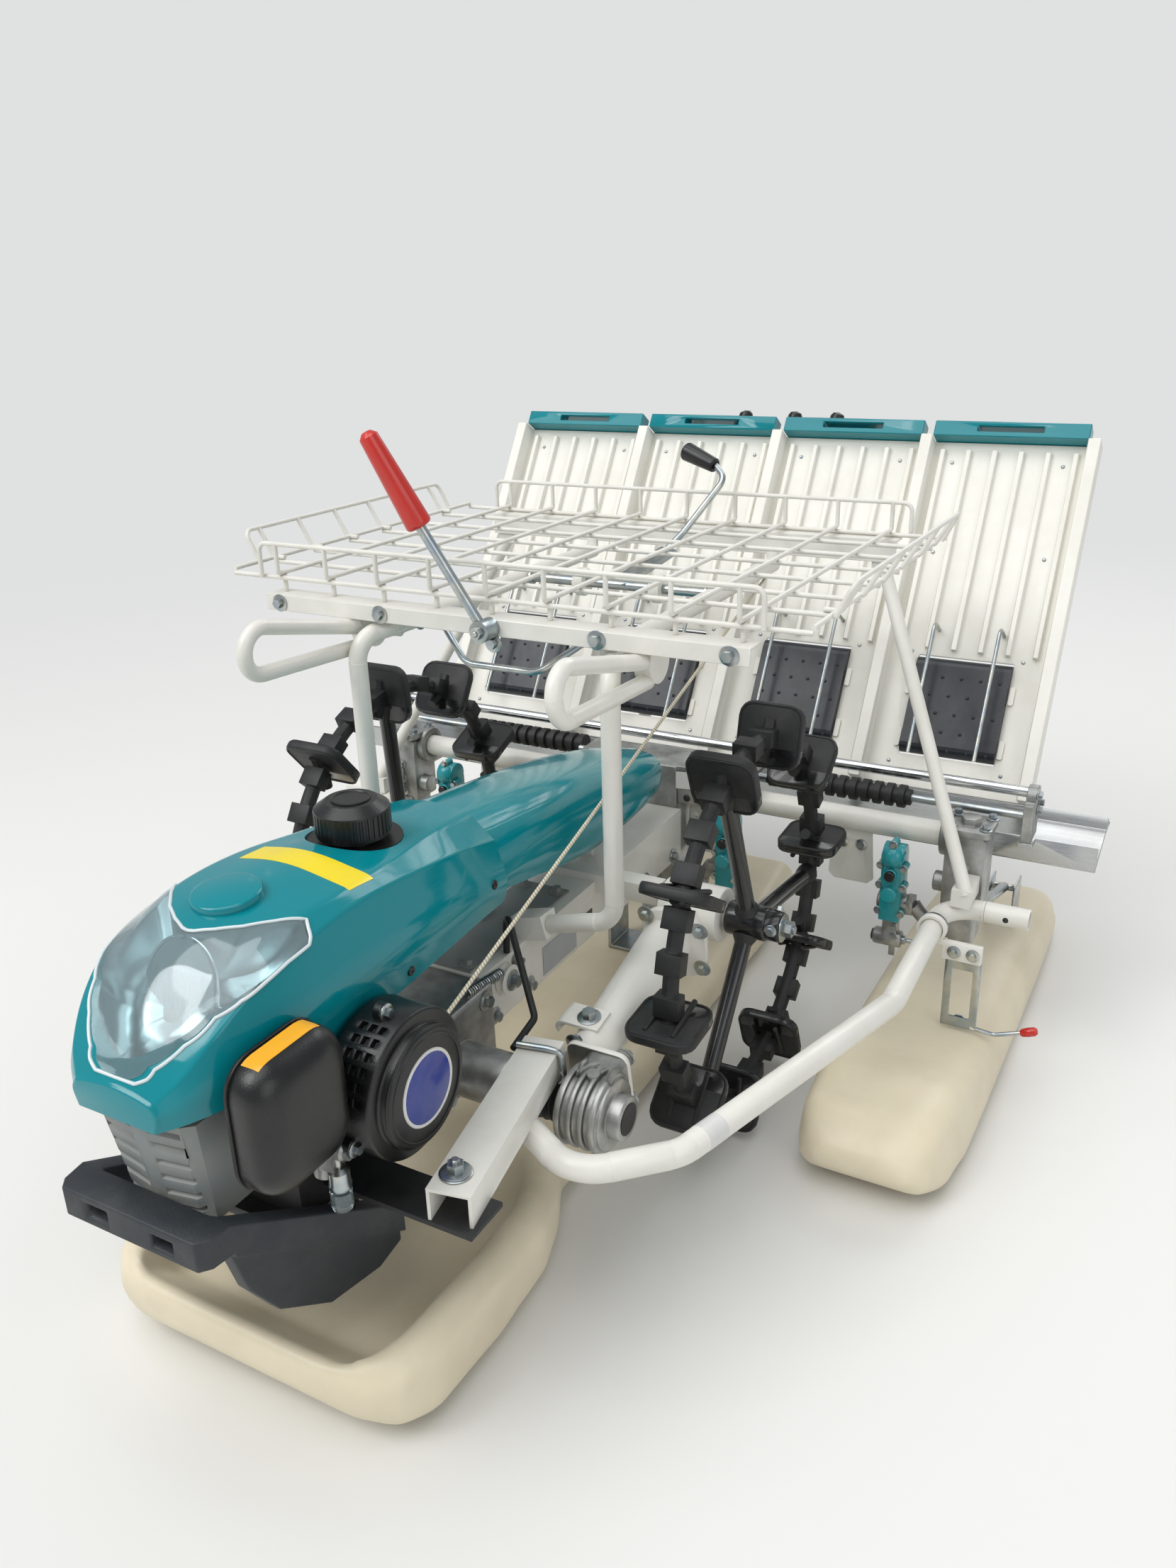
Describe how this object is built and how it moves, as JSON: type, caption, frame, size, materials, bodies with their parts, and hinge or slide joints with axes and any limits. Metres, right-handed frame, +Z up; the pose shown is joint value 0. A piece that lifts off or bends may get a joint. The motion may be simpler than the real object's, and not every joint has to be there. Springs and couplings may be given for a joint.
{
  "type": "walk behind rice transplanter",
  "caption": "Walk-behind rice transplanter with a front engine, paddle-lugged wheels on lifting swing cases, floats, planting arms, wire rack and sloping seedling tray.",
  "frame": {"origin": "on the floor, midway between the wheels, straight under the wheel axle", "axes": "+Z up, -Y the way the machine drives, +X its left side"},
  "size_m": [1.5, 2.155, 1.0609],
  "materials": {
    "black_cast": "black painted casting",
    "black_abs": "black moulded ABS",
    "grey_paint": "grey painted sheet steel",
    "teal_abs": "teal glossy moulded ABS",
    "clear_lens": "clear moulded polycarbonate",
    "reflector": "vacuum metallised reflector",
    "bumper_pp": "dark grey moulded polypropylene",
    "white_paint": "white powder coat on steel",
    "white_wire": "white dipped steel wire",
    "cast_aluminium": "as-cast aluminium",
    "bare_aluminium": "extruded aluminium",
    "zinc": "zinc plated steel",
    "chrome_bar": "ground and chromed bar",
    "cream_pe": "cream blow-moulded polyethylene",
    "teal_paint": "teal enamel on cast aluminium",
    "black_rubber": "black moulded rubber",
    "belt_rubber": "black studded rubber belt",
    "white_pp": "white moulded polypropylene",
    "red_grip": "red dipped vinyl",
    "rope": "braided nylon cord"
  },
  "bodies": {
    "root": {"engine_block": "black_cast", "recoil_starter": "black_abs", "air_cleaner": "black_abs", "muffler_guard": "grey_paint", "hood": "teal_abs", "headlamp_lens": "clear_lens", "headlamp_reflector": "reflector", "tail_cover": "teal_abs", "fuel_cap": "black_abs", "bumper": "bumper_pp", "chassis_frame": "white_paint", "transmission_case": "cast_aluminium", "engine_cradle": "black_cast", "side_guard_left": "white_paint", "side_guard_right": "white_paint", "guard_end_left": "white_paint", "guard_end_right": "white_paint", "line_markers": "zinc", "centre_float": "cream_pe", "side_float_left": "cream_pe", "side_float_right": "cream_pe", "float_brackets": "zinc", "planting_beam": "white_paint", "planting_gearbox": "cast_aluminium", "gear_case_left": "cast_aluminium", "gear_case_right": "cast_aluminium", "planting_arm_1": "teal_paint", "planting_arm_2": "teal_paint", "planting_arm_3": "teal_paint", "planting_arm_4": "teal_paint", "press_bar": "chrome_bar", "feed_shaft": "black_rubber", "seedling_rail": "bare_aluminium", "splash_guards": "white_pp", "rack_frame": "white_paint", "basket": "white_wire", "front_grip_left": "white_paint", "front_grip_right": "white_paint", "front_lever": "zinc", "front_lever_grip": "red_grip", "rear_lever": "zinc", "rear_lever_knob": "black_abs", "rack_stays": "white_paint", "starter_rope": "rope", "handlebar": "white_paint", "control_panel": "black_abs"},
    "swing_left": {"swing_case_left": "white_paint"},
    "swing_right": {"swing_case_right": "white_paint"},
    "wheel_left_body": {"wheel_left": "black_rubber"},
    "wheel_right_body": {"wheel_right": "black_rubber"},
    "tray": {"tray_panel": "white_pp", "tray_belts": "belt_rubber", "tray_rods": "zinc", "tray_caps": "teal_abs"}
  },
  "joints": [
    {"name": "swing_left_lift", "type": "hinge", "parent": "root", "child": "swing_left", "pos_m": [0.233, -0.425, 0.26], "axis": [1, 0, 0], "range_deg": [-38, 2]},
    {"name": "wheel_left_spin", "type": "hinge", "parent": "swing_left", "child": "wheel_left_body", "pos_m": [0.32, 0, 0.331], "axis": [1, 0, 0], "continuous": true},
    {"name": "swing_right_lift", "type": "hinge", "parent": "root", "child": "swing_right", "pos_m": [-0.233, -0.425, 0.26], "axis": [1, 0, 0], "range_deg": [-38, 2]},
    {"name": "wheel_right_spin", "type": "hinge", "parent": "swing_right", "child": "wheel_right_body", "pos_m": [-0.32, 0, 0.331], "axis": [1, 0, 0], "continuous": true},
    {"name": "tray_slide", "type": "slide", "parent": "root", "child": "tray", "axis": [1, 0, 0], "range_m": [-0.148, 0.122]}
  ]
}
